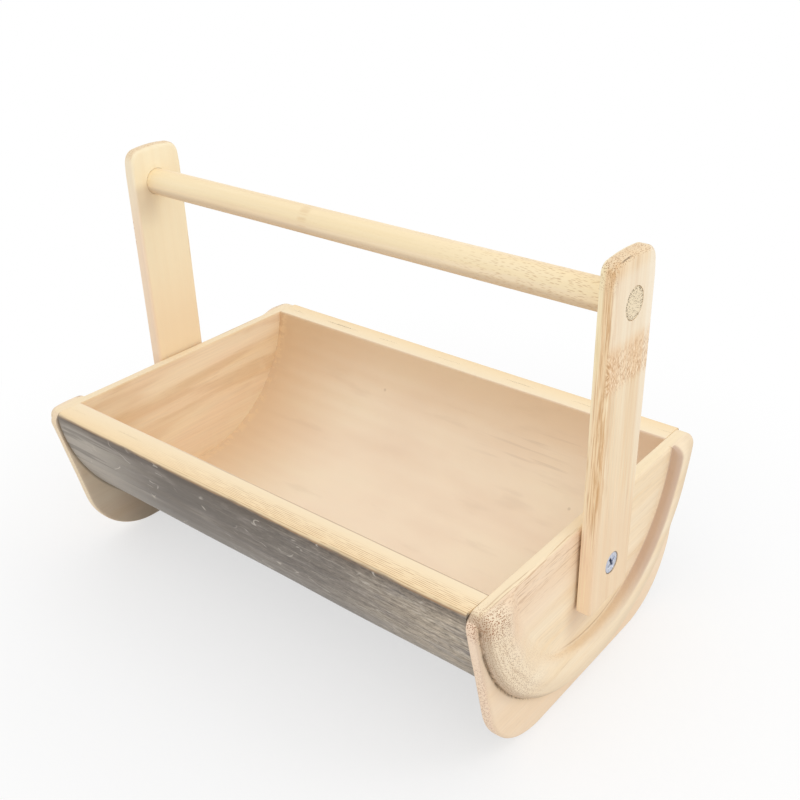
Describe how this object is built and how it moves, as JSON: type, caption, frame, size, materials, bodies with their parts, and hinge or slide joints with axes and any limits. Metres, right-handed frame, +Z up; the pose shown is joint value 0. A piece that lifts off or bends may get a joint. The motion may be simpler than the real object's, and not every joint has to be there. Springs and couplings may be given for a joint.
{
  "type": "bamboo carrying tray",
  "caption": "Half-round bamboo trough tray with footed end boards and a swinging bail handle, for carrying tea things, snacks or fruit to the table.",
  "frame": {"origin": "on the ground, under the middle of the tray", "axes": "+X along the culm and the handle bar, -Y towards the front, +Z up"},
  "size_m": [0.2766, 0.1728, 0.2015],
  "materials": {
    "culm": "natural weathered grey bamboo skin outside, sawn and scraped pale bamboo on the rails and inside",
    "board": "sanded bamboo board, grain across the tray, speckled end grain at the front and back edges",
    "arm": "sanded bamboo slat, grain along the arm, speckled end grain on the top",
    "bar": "turned and sanded bamboo dowel, grain along the bar, dark speckled end grain",
    "peg": "split bamboo peg, unfinished",
    "zinc": "bright zinc plate"
  },
  "bodies": {
    "tray": {"culm_trough": "culm", "end_board_right": "board", "end_board_left": "board", "pivot_screw_right": "zinc", "pivot_screw_left": "zinc", "pivot_washer_right": "zinc", "pivot_washer_left": "zinc", "joint_peg_right_1": "peg", "joint_peg_right_2": "peg", "joint_peg_right_3": "peg", "joint_peg_right_4": "peg", "joint_peg_left_1": "peg", "joint_peg_left_2": "peg", "joint_peg_left_3": "peg", "joint_peg_left_4": "peg"},
    "handle": {"handle_arm_right": "arm", "handle_arm_left": "arm", "handle_bar": "bar"}
  },
  "joints": [
    {"name": "handle_swing", "type": "hinge", "parent": "tray", "child": "handle", "pos_m": [0, 0, 0.064], "axis": [1, 0, 0], "range_deg": [-57, 57]}
  ]
}
